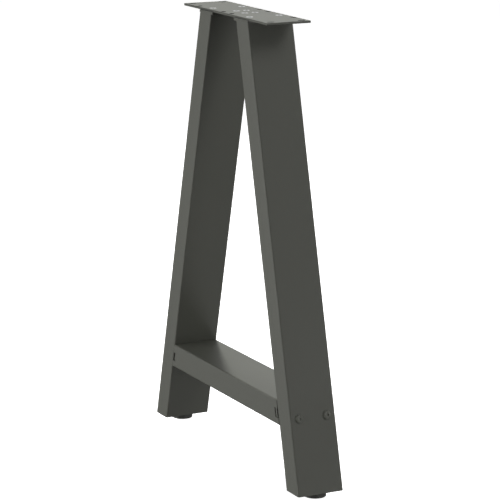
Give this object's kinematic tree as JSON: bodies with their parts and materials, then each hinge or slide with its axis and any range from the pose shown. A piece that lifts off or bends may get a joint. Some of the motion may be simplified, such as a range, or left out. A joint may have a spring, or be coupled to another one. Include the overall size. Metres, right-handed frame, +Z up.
{
  "type": "trestle table leg",
  "caption": "A-shaped steel table leg of splayed rectangular tubes under a flat fixing plate, with a low crossbar and levelling feet that screw out.",
  "frame": {"origin": "centre of the leg on the floor, under the middle of the plate", "axes": "+X from the left leg to the right leg, +Y along the depth of the tubes away from the viewer, +Z up to the plate"},
  "size_m": [0.526, 0.08, 0.735],
  "materials": {
    "powder_coat": "matt anthracite powder coat with a fine texture",
    "bolt_coat": "anthracite coated socket bolts",
    "zinc_steel": "bright zinc plated steel",
    "foot_plastic": "matt black moulded plastic"
  },
  "bodies": {
    "frame": {"top_plate": "powder_coat", "top_plate_screws": "zinc_steel", "plate_inserts": "zinc_steel", "left_leg_tube": "powder_coat", "right_leg_tube": "powder_coat", "left_top_cap": "powder_coat", "right_top_cap": "powder_coat", "crossbar_tube": "powder_coat", "crossbar_left_end_plate": "powder_coat", "crossbar_right_end_plate": "powder_coat", "left_crossbar_bolts": "bolt_coat", "right_crossbar_bolts": "bolt_coat", "left_foot_plate": "powder_coat", "right_foot_plate": "powder_coat", "left_foot_nut": "zinc_steel", "right_foot_nut": "zinc_steel"},
    "left_foot": {"left_foot_stud": "zinc_steel", "left_foot_pad": "foot_plastic"},
    "right_foot": {"right_foot_stud": "zinc_steel", "right_foot_pad": "foot_plastic"}
  },
  "joints": [
    {"name": "left_foot_height", "type": "slide", "parent": "frame", "child": "left_foot", "axis": [0, 0, -1], "range_m": [0, 0.01]},
    {"name": "right_foot_height", "type": "slide", "parent": "frame", "child": "right_foot", "axis": [0, 0, -1], "range_m": [0, 0.01]}
  ]
}
